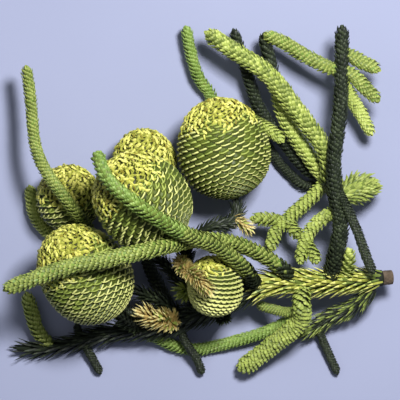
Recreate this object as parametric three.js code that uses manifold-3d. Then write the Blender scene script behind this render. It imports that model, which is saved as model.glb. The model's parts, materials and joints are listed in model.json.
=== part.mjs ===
// A cut, cone bearing branch of a monkey puzzle tree, lying down.
// Millimetres, +Z up. X runs towards the cut end of the main bough, and Y is up in the view from above.
import * as THREE from "three";
import { mergeVertices } from "three/addons/utils/BufferGeometryUtils.js";
import Module from "manifold-3d";

const wasm = await Module();
wasm.setup();

// Clearances: between a limb and what carries it, and between the two parts of a split limb.
const SEAT = 0.3;
const SPLIT_GAP = 0.35;

// Rows of scale leaves on a shoot, and how far a leaf tip leans on past its own row.
const LEAF_ROW = 14;
const HIDDEN_ROW = 20;
const TIP_LEAN = 0.7;
const BLUNT_TIP = 0.72;

// How deep the scale leaves stand out, as a share of the outer radius.
const PRESSED = 0.26;
const SPREADING = 0.55;
const SPIKY = 0.36;

// Green cone scales.
const CONE_TOOTH = 0.085;
const CONE_LEAN = 0.55;
const CONE_SIDES_LARGE = 24;
const CONE_ROWS_LARGE = 18;
const CONE_SIDES_SMALL = 20;
const CONE_ROWS_SMALL = 14;
const CONE_TAPER = 0.07;

// The bare wood at the cut end of the main bough.
const WOOD_RADIUS = 13;
const WOOD_LENGTH = 24;

const finish = (color, roughness) => new THREE.MeshStandardMaterial({ color, roughness, metalness: 0 });
const FINISH = {
  cone: () => finish(0x7f8f2c, 0.7),
  shoot: () => finish(0x5d7a2e, 0.65),
  shade: () => finish(0x2c3a26, 0.7),
  twig: () => finish(0x9fae45, 0.65),
  dry: () => finish(0xc2a561, 0.8),
  bough: () => finish(0x3d4a2a, 0.8),
};

// A closed body around a curve. Its rings alternate tips and valleys, as overlapping scales do.
function scalyGeometry(curve, stations, sides, radiusAt, toothAt, lean) {
  const points = [];
  const index = [];
  const last = stations.length - 1;
  const frames = framesAt(curve, stations);
  stations.forEach((u, row) => {
    const gap = row < last ? stations[row + 1] - u : 0;
    for (let side = 0; side < sides; side += 1) {
      const isTip = (row + side) % 2 === 0 && toothAt(u) > 0;
      const where = isTip ? Math.min(1, u + lean * gap) : u;
      const radius = radiusAt(where) * (isTip ? 1 : 1 - toothAt(u));
      const angle = (2 * Math.PI * side) / sides;
      const spoke = frames[row].normal.clone().multiplyScalar(Math.cos(angle));
      spoke.addScaledVector(frames[row].binormal, Math.sin(angle));
      const tangent = curve.getTangentAt(where);
      spoke.addScaledVector(tangent, -spoke.dot(tangent)).normalize();
      points.push(curve.getPointAt(where).addScaledVector(spoke, radius));
    }
  });
  points.push(curve.getPointAt(0), curve.getPointAt(1));
  const foot = points.length - 2;
  const apex = points.length - 1;
  for (let side = 0; side < sides; side += 1) {
    const next = (side + 1) % sides;
    index.push(foot, next, side);
    index.push(apex, last * sides + side, last * sides + next);
    for (let row = 0; row < last; row += 1) {
      const a = row * sides + side;
      const b = row * sides + next;
      // The fold runs from valley to valley, so each tip stands out as a scale of its own.
      if ((row + side) % 2 === 0) {
        index.push(a, b, a + sides, b, b + sides, a + sides);
      } else {
        index.push(a, b, b + sides, a, b + sides, a + sides);
      }
    }
  }
  const geometry = new THREE.BufferGeometry().setFromPoints(points);
  geometry.setIndex(index);
  return geometry;
}

// Frames along a curve that turn as little as they can, one at each station.
function framesAt(curve, stations) {
  const tangents = stations.map((u) => curve.getTangentAt(u));
  const start = tangents[0];
  const helper = Math.abs(start.z) < 0.8 ? new THREE.Vector3(0, 0, 1) : new THREE.Vector3(1, 0, 0);
  let normal = new THREE.Vector3().crossVectors(start, helper).normalize();
  return tangents.map((tangent) => {
    normal = normal.clone().addScaledVector(tangent, -normal.dot(tangent)).normalize();
    return { normal, binormal: new THREE.Vector3().crossVectors(tangent, normal) };
  });
}

function toSolid(geometry) {
  const merged = mergeVertices(geometry);
  const vertProperties = new Float32Array(merged.attributes.position.array);
  const triVerts = new Uint32Array(merged.index.array);
  return new wasm.Manifold(new wasm.Mesh({ numProp: 3, vertProperties, triVerts }));
}

function toGeometry(solid) {
  const mesh = solid.getMesh();
  const geometry = new THREE.BufferGeometry();
  geometry.setAttribute("position", new THREE.BufferAttribute(mesh.vertProperties, 3));
  geometry.setIndex(new THREE.BufferAttribute(mesh.triVerts, 1));
  geometry.computeVertexNormals();
  return geometry;
}

const largestOf = (solid) =>
  solid.decompose().reduce((best, body) => (body.volume() > best.volume() ? body : best));

const branch = new THREE.Group();
const envelopes = new Map();

function addNode(name, geometry, material, carriers) {
  let solid = toSolid(geometry);
  for (const carrier of carriers) {
    solid = solid.subtract(envelopes.get(carrier));
  }
  const mesh = new THREE.Mesh(toGeometry(largestOf(solid)), material());
  mesh.name = name;
  branch.add(mesh);
}

// A smooth body just clear of the scale tips, which cuts the seat of whatever meets the limb.
function addEnvelope(name, curve, stations, sides, radiusAt) {
  const wider = (u) => radiusAt(u) + SEAT;
  const finer = stations.flatMap((u, row) => (row ? [(stations[row - 1] + u) / 2, u] : [u]));
  envelopes.set(name, toSolid(scalyGeometry(curve, finer, sides, wider, () => 0, 0)));
}

// A cone of green scales: an egg shape about the axis that runs from its stalk to its tufted end.
function addCone({ name, centre, axis, radius, halfLength, sides, rows }) {
  const middle = new THREE.Vector3(...centre);
  const along = new THREE.Vector3(...axis).normalize().multiplyScalar(halfLength);
  const curve = new THREE.LineCurve3(middle.clone().sub(along), middle.clone().add(along));
  const radiusAt = (u) => {
    const t = 2 * u - 1;
    return radius * Math.sqrt(Math.max(0, 1 - Math.abs(t) ** 2.2)) * (1 - CONE_TAPER * t);
  };
  const stations = [];
  for (let row = 1; row < rows; row += 1) {
    stations.push((1 - Math.cos((Math.PI * row) / rows)) / 2);
  }
  const geometry = scalyGeometry(curve, stations, sides, radiusAt, () => CONE_TOOTH, CONE_LEAN);
  addNode(name, geometry, FINISH.cone, []);
  addEnvelope(name, curve, stations, sides, radiusAt);
}

// A limb along a smooth route, thinner at its root, with a blunt tip. It is cut to sit on its carriers.
function addLimb({
  name,
  route,
  radius,
  material = "shoot",
  tooth = PRESSED,
  row = LEAF_ROW,
  on = [],
  parts = [""],
  bareRoot = false,
}) {
  const curve = new THREE.CatmullRomCurve3(
    route.map((point) => new THREE.Vector3(...point)),
    false,
    "centripetal",
  );
  curve.arcLengthDivisions = 400;
  const length = curve.getLength();
  const [rootRadius, midRadius, tipRadius] = radius;
  const radiusAt = (u) => {
    const taper = u < 0.5 ? [rootRadius, midRadius, 2 * u] : [midRadius, tipRadius, 2 * u - 1];
    const plain = THREE.MathUtils.lerp(...taper);
    if (bareRoot && u * length < WOOD_LENGTH) {
      return WOOD_RADIUS;
    }
    const toTip = ((1 - u) * length) / tipRadius;
    return toTip < 1 ? plain * Math.max(BLUNT_TIP, Math.sqrt(1 - (1 - toTip) ** 2)) : plain;
  };
  const toothAt = (u) => (u === 0 || (bareRoot && u * length < WOOD_LENGTH) ? 0 : tooth);
  const sides = sidesFor(Math.max(rootRadius, midRadius));
  parts.forEach((suffix, part) => {
    const from = part === 0 ? 0 : part / parts.length + SPLIT_GAP / length;
    const to = (part + 1) / parts.length;
    const isLast = part === parts.length - 1;
    const piece = new SubCurve(curve, from, to);
    const span = (to - from) * length;
    const rings = Math.max(3, Math.round((span - (isLast ? tipRadius * 0.6 : 0)) / row));
    const end = isLast ? 1 - (tipRadius * 0.6) / span : 1;
    const stations = [];
    for (let ring = 0; ring <= rings; ring += 1) {
      stations.push((end * ring) / rings);
    }
    if (bareRoot && part === 0) {
      stations.splice(1, 0, (WOOD_LENGTH - 1) / span, (WOOD_LENGTH + 1) / span);
      stations.sort((a, b) => a - b);
    }
    const whole = (u) => from + u * (to - from);
    const partTooth = (u) => (!isLast && u === 1) || u === 0 ? 0 : toothAt(whole(u));
    const partRadius = (u) => radiusAt(whole(u));
    const geometry = scalyGeometry(piece, stations, sides, partRadius, partTooth, TIP_LEAN);
    addNode(name + suffix, geometry, FINISH[material], part === 0 ? on : []);
    addEnvelope(name + suffix, piece, stations, sides, partRadius);
  });
}

function sidesFor(radius) {
  if (radius < 9.5) {
    return 6;
  }
  return radius < 18 ? 8 : 12;
}

// The stretch of a curve between two of its own arc length shares.
class SubCurve extends THREE.Curve {
  constructor(curve, from, to) {
    super();
    this.curve = curve;
    this.from = from;
    this.to = to;
  }
  getPointAt(u) {
    return this.curve.getPointAt(this.from + u * (this.to - this.from));
  }
  getTangentAt(u) {
    return this.curve.getTangentAt(this.from + u * (this.to - this.from));
  }
}

// Cones. Three large ones stand in front, and three smaller ones lie behind and between them.
const LARGE_CONES = [
  { name: "cone_top", centre: [45, 99, 106], axis: [-0.2, 0.96, 0.18], radius: 83, halfLength: 93 },
  { name: "cone_front", centre: [-99, 7, 200], axis: [-0.61, 0.67, 0.42], radius: 83, halfLength: 94 },
  { name: "cone_low", centre: [-201, -123, 141], axis: [-0.58, 0.72, 0.38], radius: 80, halfLength: 96 },
];
const SMALL_CONES = [
  { name: "cone_back", centre: [-96, 72, 62], axis: [0, 0.9, 0.43], radius: 60, halfLength: 66 },
  { name: "cone_left", centre: [-231, 12, 60], axis: [0.1, 0.88, 0.46], radius: 58, halfLength: 62 },
  { name: "cone_inner", centre: [30, -144, 150], axis: [-0.2, 0.86, 0.47], radius: 50, halfLength: 58 },
];
LARGE_CONES.forEach((cone) => addCone({ ...cone, sides: CONE_SIDES_LARGE, rows: CONE_ROWS_LARGE }));
SMALL_CONES.forEach((cone) => addCone({ ...cone, sides: CONE_SIDES_SMALL, rows: CONE_ROWS_SMALL }));

// The main bough, from its cut end to its thin tip, and the boughs that leave it.
addLimb({
  name: "bough",
  parts: ["_base", "_middle", "_tip"],
  route: [
    [346, -130, 58],
    [233, -138, 88],
    [123, -141, 96],
    [15, -189, 50],
    [-72, -219, 34],
    [-154, -230, 22],
    [-262, -257, 13],
    [-339, -261, 12],
  ],
  radius: [28, 30, 10],
  material: "bough",
  tooth: SPIKY,
  row: 16,
  bareRoot: true,
});
addLimb({
  name: "lower_bough",
  route: [[312, -150, 66], [280, -182, 46], [238, -202, 34], [176, -240, 22]],
  radius: [18, 20, 15],
  material: "bough",
  tooth: SPIKY,
  on: ["bough_base"],
});
addLimb({
  name: "upright_bough",
  route: [
    [233, -140, 90], [243, -95, 114], [253, -39, 121], [245, 12, 122], [241, 75, 122],
    [252, 168, 120], [256, 320, 106],
  ],
  radius: [15, 12, 11],
  material: "shade",
  on: ["bough_base"],
});
addLimb({
  name: "whorl_stem",
  route: [[246, 14, 120], [238, 28, 94], [230, 40, 62], [227, 44, 22]],
  radius: [12, 13, 12],
  material: "shade",
  on: ["upright_bough"],
});
addLimb({
  name: "right_bough",
  route: [[248, 12, 116], [266, 22, 90], [290, 30, 72], [330, 34, 66]],
  radius: [12, 30, 22],
  tooth: SPREADING,
  on: ["upright_bough", "whorl_stem"],
});

// Shoots of the whorl, which fan out to the upper left.
addLimb({
  name: "whorl_shoot_1",
  route: [
    [234, 36, 84], [227, 91, 94], [170, 174, 98], [124, 232, 94], [64, 273, 88],
    [12, 309, 82],
  ],
  radius: [13, 16, 13],
  on: ["whorl_stem", "upright_bough"],
});
addLimb({
  name: "whorl_shoot_2",
  route: [
    [230, 42, 58], [199, 84, 64], [160, 146, 60], [140, 212, 58], [124, 273, 58],
    [117, 309, 58],
  ],
  radius: [12, 13, 9],
  material: "twig",
  on: ["whorl_stem"],
});
addLimb({
  name: "whorl_shoot_3",
  route: [
    [228, 43, 38], [192, 66, 36], [144, 126, 36], [110, 172, 38], [87, 240, 44],
    [63, 315, 46],
  ],
  radius: [10, 11, 8],
  material: "shade",
  on: ["whorl_stem"],
});
addLimb({
  name: "whorl_shoot_4",
  route: [[226, 44, 16], [193, 34, 14], [165, 55, 12], [142, 80, 10], [112, 128, 9]],
  radius: [8, 8, 8],
  material: "shade",
  on: ["whorl_stem"],
});

// Shoots that pass behind the top cone.
addLimb({
  name: "far_shoot",
  route: [
    [124, 110, 9], [84, 136, 8], [36, 158, 9], [22, 197, 18], [0, 230, 26],
    [-15, 282, 30], [-22, 322, 32],
  ],
  radius: [9, 10, 9],
  on: ["whorl_shoot_4"],
});
addLimb({
  name: "blunt_shoot",
  route: [[84, 136, 8], [96, 150, 34], [112, 143, 54], [135, 128, 64], [154, 111, 66]],
  radius: [8, 10, 10],
  material: "twig",
  on: ["far_shoot"],
});

// Shoots near the top of the upright bough.
addLimb({
  name: "crown_shoot_1",
  route: [[253, 240, 116], [234, 243, 100], [192, 264, 84], [150, 290, 78], [116, 304, 76]],
  radius: [10, 12, 10],
  material: "shade",
  on: ["upright_bough"],
});
addLimb({
  name: "crown_shoot_2",
  route: [[253, 238, 116], [273, 231, 104], [297, 208, 98], [324, 182, 94]],
  radius: [10, 12, 10],
  on: ["upright_bough"],
});
addLimb({
  name: "crown_shoot_3",
  route: [[252, 222, 116], [264, 208, 92], [280, 180, 72], [293, 158, 64], [312, 122, 60]],
  radius: [9, 11, 9],
  material: "twig",
  on: ["upright_bough"],
});
addLimb({
  name: "crown_shoot_4",
  route: [[255, 270, 110], [276, 262, 96], [300, 250, 86], [326, 238, 82]],
  radius: [10, 12, 10],
  on: ["upright_bough"],
});
addLimb({
  name: "side_shoot",
  route: [[247, 26, 122], [262, -2, 134], [284, -52, 131], [300, -96, 122], [312, -124, 118]],
  radius: [8, 8, 8],
  on: ["upright_bough"],
});

// Open leafy twigs between the whorl and the main bough.
addLimb({
  name: "twig_1",
  route: [[228, 40, 70], [204, 14, 68], [162, -24, 66], [140, -46, 62], [128, -84, 60]],
  radius: [9, 10, 9],
  material: "twig",
  tooth: SPREADING,
  on: ["whorl_stem"],
});
addLimb({
  name: "twig_2",
  route: [[152, -32, 64], [134, -28, 66], [114, -26, 68], [93, -25, 70]],
  radius: [9, 10, 8],
  material: "twig",
  tooth: SPREADING,
  on: ["twig_1"],
});
addLimb({
  name: "twig_3",
  route: [
    [250, -22, 119], [234, -18, 104], [216, -30, 94], [192, -60, 88], [186, -84, 90],
    [181, -106, 94],
  ],
  radius: [9, 10, 9],
  material: "twig",
  tooth: SPREADING,
  on: ["upright_bough", "bough_base", "bough_middle"],
});
addLimb({
  name: "twig_4",
  route: [[161, -25, 66], [168, -42, 72], [184, -60, 84]],
  radius: [8, 9, 8],
  material: "twig",
  tooth: SPREADING,
  on: ["twig_1", "twig_3"],
});
addLimb({
  name: "twig_5",
  route: [[190, -64, 89], [202, -82, 96], [213, -106, 104]],
  radius: [7, 9, 8],
  material: "twig",
  tooth: SPREADING,
  on: ["twig_3", "bough_base"],
});
addLimb({
  name: "bough_shoot",
  route: [[262, -136, 82], [266, -104, 104], [268, -76, 106]],
  radius: [9, 11, 9],
  material: "twig",
  tooth: SPREADING,
  on: ["bough_base", "upright_bough"],
});

// Long shoots that arch over the cones.
addLimb({
  name: "arch_front",
  parts: ["_1", "_2"],
  route: [
    [103, -146, 92], [95, -132, 134], [81, -112, 168], [32, -73, 214], [-25, -50, 258],
    [-101, -4, 300], [-156, 43, 282], [-178, 93, 246],
  ],
  radius: [12, 13, 10],
  on: ["bough_base", "bough_middle"],
});
addLimb({
  name: "arch_low",
  parts: ["_1", "_2"],
  route: [
    [166, -142, 98], [157, -121, 116], [136, -103, 126], [64, -68, 168], [-9, -63, 210],
    [-70, -76, 259], [-166, -97, 253], [-223, -108, 242], [-342, -150, 212],
  ],
  radius: [12, 13, 12],
  on: ["bough_base"],
});

// What carries the cones.
addLimb({
  name: "cone_bough",
  route: [
    [-2, -196, 44], [-12, -150, 74], [-22, -102, 112], [-24, -72, 140], [-42, -54, 162],
    [-60, -38, 172],
  ],
  radius: [16, 15, 14],
  material: "shade",
  tooth: SPIKY,
  on: ["bough_middle", "cone_front"],
});
addLimb({
  name: "stalk_cone_top",
  route: [
    [-22, -74, 138], [2, -50, 148], [24, -39, 142], [54, -33, 118], [70, -16, 98],
    [66, 14, 88],
  ],
  radius: [11, 12, 14],
  material: "shade",
  tooth: SPIKY,
  on: ["cone_bough", "cone_top"],
});
addLimb({
  name: "stalk_cone_back",
  route: [[-40, -208, 36], [-64, -160, 20], [-88, -108, 18], [-96, -30, 24], [-96, 16, 36]],
  radius: [11, 11, 12],
  material: "shade",
  row: HIDDEN_ROW,
  on: ["bough_middle", "cone_back"],
});
addLimb({
  name: "stalk_cone_left",
  route: [[-106, -222, 30], [-140, -180, 16], [-180, -110, 18], [-222, -66, 24], [-238, -38, 34]],
  radius: [11, 11, 12],
  material: "shade",
  row: HIDDEN_ROW,
  on: ["bough_middle", "bough_tip", "cone_left"],
});
addLimb({
  name: "stalk_cone_low",
  route: [[-104, -222, 32], [-116, -214, 68], [-130, -206, 88], [-150, -186, 108]],
  radius: [12, 12, 13],
  material: "shade",
  tooth: SPIKY,
  on: ["bough_middle", "bough_tip", "cone_low"],
});
addLimb({
  name: "stalk_cone_inner",
  route: [[36, -180, 58], [44, -196, 92], [43, -198, 112], [40, -186, 128]],
  radius: [12, 12, 13],
  material: "shade",
  tooth: SPIKY,
  on: ["bough_middle", "cone_inner"],
});

// Shaggy dark shoots that fill the space behind the front and low cones.
addLimb({
  name: "dark_shoot_1",
  route: [[-8, -164, 62], [-32, -140, 62], [-54, -112, 72], [-84, -84, 88]],
  radius: [11, 13, 12],
  material: "shade",
  tooth: SPIKY,
  on: ["cone_bough"],
});
addLimb({
  name: "dark_shoot_2",
  route: [[-26, -204, 42], [-54, -182, 50], [-86, -166, 60], [-118, -148, 66]],
  radius: [12, 14, 12],
  material: "shade",
  tooth: SPIKY,
  on: ["bough_middle"],
});

// The shoot that climbs over the left cone.
addLimb({
  name: "left_shoot",
  parts: ["_1", "_2"],
  route: [
    [-176, -114, 18], [-188, -70, 56], [-197, -40, 104], [-227, 0, 134], [-273, 65, 120],
    [-289, 107, 106], [-298, 191, 94], [-306, 249, 90],
  ],
  radius: [10, 10, 9],
  on: ["stalk_cone_left"],
});
addLimb({
  name: "edge_shoot_1",
  route: [[-216, -72, 23], [-262, -56, 16], [-292, -22, 14], [-303, 36, 14]],
  radius: [9, 10, 10],
  material: "twig",
  on: ["stalk_cone_left"],
});
addLimb({
  name: "edge_shoot_2",
  route: [[-262, -257, 13], [-288, -226, 18], [-300, -188, 20], [-308, -156, 20]],
  radius: [9, 12, 11],
  material: "twig",
  on: ["bough_tip"],
});

// The forked pair and the thin shoots under the main bough.
addLimb({
  name: "fork_thick",
  route: [
    [183, -141, 97], [184, -172, 112], [183, -206, 86], [161, -229, 66], [110, -271, 36],
    [72, -298, 20],
  ],
  radius: [14, 15, 14],
  on: ["bough_base"],
});
addLimb({
  name: "fork_thin",
  route: [
    [183, -196, 94], [158, -210, 54], [127, -226, 34], [43, -252, 12], [0, -260, 7.9],
    [-38, -256, 8], [-70, -242, 12], [-104, -228, 22],
  ],
  radius: [8, 10, 9],
  on: ["fork_thick", "bough_middle"],
});
addLimb({
  name: "under_shoot",
  route: [[184, -182, 108], [160, -192, 80], [130, -186, 64], [104, -178, 54]],
  radius: [7, 8, 8],
  on: ["fork_thick"],
});
addLimb({
  name: "thin_shoot_1",
  route: [[214, -216, 29], [227, -250, 14], [252, -306, 8]],
  radius: [7, 7, 7],
  material: "shade",
  on: ["lower_bough"],
});
addLimb({
  name: "thin_shoot_2",
  route: [[-205, -249, 15], [-189, -278, 10], [-174, -306, 8]],
  radius: [7, 7, 7],
  material: "shade",
  on: ["bough_tip"],
});
addLimb({
  name: "thin_shoot_3",
  route: [[-34, -210, 40], [-24, -242, 36], [-2, -278, 20], [9, -306, 8]],
  radius: [6, 7, 7],
  material: "shade",
  on: ["bough_middle"],
});
addLimb({
  name: "thin_shoot_4",
  route: [[-208, -249, 14], [-214, -232, 18], [-218, -212, 20]],
  radius: [7, 7, 7],
  material: "shade",
  on: ["bough_tip"],
});

// Shoots with dying leaves, and a short green one beside them.
addLimb({
  name: "dry_shoot_1",
  route: [[-42, -210, 40], [-52, -206, 70], [-80, -202, 84], [-116, -186, 80]],
  radius: [12, 13, 12],
  material: "dry",
  tooth: SPREADING,
  on: ["bough_middle"],
});
addLimb({
  name: "dry_shoot_2",
  route: [[-22, -98, 114], [-29, -106, 150], [-11, -121, 194], [12, -144, 214], [26, -160, 214]],
  radius: [8, 10, 9],
  material: "dry",
  tooth: SPREADING,
  on: ["cone_bough"],
});
addLimb({
  name: "dry_shoot_3",
  route: [[62, -24, 112], [76, -32, 114], [88, -42, 108], [92, -54, 100]],
  radius: [7, 9, 8],
  material: "dry",
  tooth: SPREADING,
  on: ["stalk_cone_top"],
});
addLimb({
  name: "tuft_shoot",
  route: [[-12, -148, 75], [-26, -156, 94], [-32, -164, 108]],
  radius: [8, 12, 11],
  material: "twig",
  tooth: SPREADING,
  on: ["cone_bough"],
});

// The origin is under the middle of the branch, on the surface that it lies on.
const box = new THREE.Box3().setFromObject(branch);
const middle = box.getCenter(new THREE.Vector3());
branch.position.set(-middle.x, -middle.y, -box.min.z);

export default branch;
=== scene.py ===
"""A cut, cone-bearing branch of a monkey puzzle tree, lying on a pale floor and seen from straight above.

Metres, +Z up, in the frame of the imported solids. A limb is a stem under a coat of scale leaves, and a cone
is a core under a coat of ridged scales. Both coats follow one spiral rule, on the solids' own routes.
"""
import json
import logging
import math
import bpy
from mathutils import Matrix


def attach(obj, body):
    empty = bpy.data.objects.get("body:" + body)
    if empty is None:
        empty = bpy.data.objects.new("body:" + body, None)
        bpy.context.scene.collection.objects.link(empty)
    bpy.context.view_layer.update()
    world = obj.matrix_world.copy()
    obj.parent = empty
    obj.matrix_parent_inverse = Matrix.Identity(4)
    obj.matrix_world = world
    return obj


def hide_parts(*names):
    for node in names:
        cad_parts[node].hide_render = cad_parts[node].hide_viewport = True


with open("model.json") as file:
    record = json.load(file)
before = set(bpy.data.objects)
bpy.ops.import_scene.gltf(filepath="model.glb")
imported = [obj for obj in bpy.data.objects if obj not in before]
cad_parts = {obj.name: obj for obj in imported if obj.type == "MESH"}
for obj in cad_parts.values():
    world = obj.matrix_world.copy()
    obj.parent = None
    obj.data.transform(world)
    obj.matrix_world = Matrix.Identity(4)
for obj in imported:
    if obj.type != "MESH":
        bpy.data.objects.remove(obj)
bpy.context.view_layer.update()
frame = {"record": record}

import zlib
from dataclasses import dataclass, field
from enum import Enum
from typing import Callable, Sequence

import bpy
import numpy as np
from mathutils import Vector

logging.basicConfig(level=logging.INFO, format="%(message)s")
LOG = logging.getLogger("branch")

Array = np.ndarray
Point = tuple[float, float, float]
Colour = tuple[float, float, float]
RadiusRule = Callable[[Array], Array]
Relief = Callable[[Array, Array], Array]

GOLDEN_ANGLE = math.pi * (3 - math.sqrt(5))
BODY = "root"

# The tables of limbs are in millimetres, and everything else is in metres.
PER_METRE = 1000

# Where the main bough's route starts, at the cut end. The frame has that end in another place, and all
# routes shift with it.
BOUGH_ROOT: Point = (346, -130, 58)
SHIFT = np.array(frame["record"]["mounts"][0]["pos_m"]) - np.array(BOUGH_ROOT) / PER_METRE


def unit(vectors: Array) -> Array:
    """Scale each row to length one."""
    return vectors / np.maximum(np.linalg.norm(vectors, axis=-1, keepdims=True), 1e-12)


def seeded(name: str) -> np.random.Generator:
    """Give a piece its own repeatable source of chance."""
    return np.random.default_rng(zlib.crc32(name.encode()))


def spread(rng: np.random.Generator, count: int | tuple[int, int], middle: float, reach: float) -> Array:
    """Draw evenly spread values.

    Args:
        rng: The source of chance.
        count: How many, or rows and columns.
        middle: Their middle.
        reach: How far they lie from it at most.

    Returns:
        The values.
    """
    return middle + reach * rng.uniform(-1, 1, count)


@dataclass(frozen=True)
class Finish:
    """A plant surface whose colour drifts between two tones, with fine relief.

    Attributes:
        name: Name of the material.
        dark: Colour of its darker patches, linear.
        light: Colour of its lighter patches, linear.
        roughness: Middle roughness. It varies a little with the grain.
        patch: Size of a colour patch.
        grain: Size of the fine relief.
        relief: Height of the fine relief.
    """

    name: str
    dark: Colour
    light: Colour
    roughness: float = 0.5
    patch: float = 0.03
    grain: float = 0.0016
    relief: float = 0.0003

    SPECULAR = 0.28
    PATCH_OCTAVES, GRAIN_OCTAVES = 3.0, 4.0
    GRAIN_IN_TONE = 0.45
    TONE_ENDS = (0.42, 0.98)
    ROUGHNESS_SPAN = 0.12
    BUMP = 0.6

    def material(self) -> bpy.types.Material:
        """Find the finish's material, or make it on first use.

        Returns:
            The material.
        """
        made = bpy.data.materials.get(self.name)
        if made is None:
            made = bpy.data.materials.new(self.name)
            self._dress(made)
        return made

    def _dress(self, material: bpy.types.Material) -> None:
        """Lay out the nodes of a new material.

        Args:
            material: The material to fill.
        """
        material.use_nodes = True
        material.diffuse_color = (*self.light, 1.0)
        nodes, links = material.node_tree.nodes, material.node_tree.links
        shader = nodes["Principled BSDF"]
        shader.inputs["Specular IOR Level"].default_value = self.SPECULAR
        place = nodes.new("ShaderNodeTexCoord").outputs["Object"]
        patches = self._noise(material, place, 1 / self.patch, self.PATCH_OCTAVES)
        grain = self._noise(material, place, 1 / self.grain, self.GRAIN_OCTAVES)
        tone = nodes.new("ShaderNodeMath")
        tone.operation = "MULTIPLY_ADD"
        tone.inputs[1].default_value = self.GRAIN_IN_TONE
        links.new(grain, tone.inputs[0])
        links.new(patches, tone.inputs[2])
        ramp = nodes.new("ShaderNodeValToRGB")
        for stop, share, colour in zip(ramp.color_ramp.elements, self.TONE_ENDS, (self.dark, self.light)):
            stop.position, stop.color = share, (*colour, 1.0)
        links.new(tone.outputs[0], ramp.inputs["Fac"])
        links.new(ramp.outputs["Color"], shader.inputs["Base Color"])
        gloss = nodes.new("ShaderNodeMapRange")
        gloss.inputs["To Min"].default_value = self.roughness - self.ROUGHNESS_SPAN
        gloss.inputs["To Max"].default_value = self.roughness + self.ROUGHNESS_SPAN
        links.new(grain, gloss.inputs["Value"])
        links.new(gloss.outputs["Result"], shader.inputs["Roughness"])
        bump = nodes.new("ShaderNodeBump")
        bump.inputs["Strength"].default_value = self.BUMP
        bump.inputs["Distance"].default_value = self.relief
        links.new(grain, bump.inputs["Height"])
        links.new(bump.outputs["Normal"], shader.inputs["Normal"])

    @staticmethod
    def _noise(
        material: bpy.types.Material, place: bpy.types.NodeSocket, scale: float, detail: float
    ) -> bpy.types.NodeSocket:
        """Add a noise texture.

        Args:
            material: The material that gets the node.
            place: The socket with the coordinates.
            scale: Patches per metre.
            detail: Octaves of finer noise.

        Returns:
            The noise's value socket.
        """
        noise = material.node_tree.nodes.new("ShaderNodeTexNoise")
        noise.inputs["Scale"].default_value = scale
        noise.inputs["Detail"].default_value = detail
        material.node_tree.links.new(place, noise.inputs["Vector"])
        return noise.outputs["Fac"]


# Each tip finish is paler than its leaf finish: partly the leaves' own paler tips, partly painted light on
# the tips over bases left darker as painted shade.
LEAF_OLIVE = Finish("leaf_olive", (0.08, 0.115, 0.022), (0.2, 0.26, 0.05))
LEAF_OLIVE_TIP = Finish("leaf_olive_tip", (0.19, 0.24, 0.05), (0.39, 0.45, 0.11))
LEAF_FRESH = Finish("leaf_fresh", (0.09, 0.165, 0.025), (0.22, 0.33, 0.06))
LEAF_FRESH_TIP = Finish("leaf_fresh_tip", (0.17, 0.28, 0.055), (0.34, 0.46, 0.12))
LEAF_SHADE = Finish("leaf_shade", (0.007, 0.01, 0.006), (0.02, 0.028, 0.014))
LEAF_SHADE_TIP = Finish("leaf_shade_tip", (0.015, 0.022, 0.01), (0.05, 0.066, 0.03))
LEAF_PALE = Finish("leaf_pale", (0.2, 0.27, 0.045), (0.44, 0.52, 0.11))
LEAF_PALE_TIP = Finish("leaf_pale_tip", (0.34, 0.42, 0.08), (0.6, 0.66, 0.19))
# Painted sunlight: the bough's base leaves are pale yellow-green as if sunlit, while the rest of the bough
# takes the near-black shade finishes.
LEAF_SUNLIT_BOUGH = Finish("leaf_sunlit_bough", (0.22, 0.24, 0.036), (0.44, 0.46, 0.08))
LEAF_SUNLIT_BOUGH_TIP = Finish("leaf_sunlit_bough_tip", (0.5, 0.5, 0.1), (0.8, 0.78, 0.24))
LEAF_DYING = Finish("leaf_dying", (0.34, 0.23, 0.07), (0.56, 0.43, 0.15))
LEAF_DYING_TIP = Finish("leaf_dying_tip", (0.5, 0.42, 0.14), (0.76, 0.68, 0.3))
# The stems are far darker than their leaves: they show only in the gaps between the leaves, and that
# darkness is painted shade.
STEM_GREEN = Finish("stem_green", (0.012, 0.018, 0.006), (0.035, 0.048, 0.014), 0.7)
STEM_PALE = Finish("stem_pale", (0.04, 0.06, 0.01), (0.11, 0.15, 0.025), 0.7)
STEM_SHADE = Finish("stem_shade", (0.005, 0.007, 0.004), (0.012, 0.016, 0.009), 0.75)
BARK = Finish("bark", (0.04, 0.028, 0.018), (0.15, 0.11, 0.075), 0.85, 0.012, 0.0012, 0.0008)
WOOD_PALE = Finish("wood_pale", (0.5, 0.36, 0.19), (0.66, 0.5, 0.3), 0.7, 0.01, 0.0008, 0.0002)
WOOD_DARK = Finish("wood_dark", (0.3, 0.19, 0.09), (0.42, 0.28, 0.14), 0.7, 0.01, 0.0008, 0.0002)
# Near-black cone core: painted shade in the gaps between the scales.
SCALE_CORE = Finish("scale_core", (0.01, 0.013, 0.004), (0.03, 0.036, 0.01), 0.8)
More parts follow.
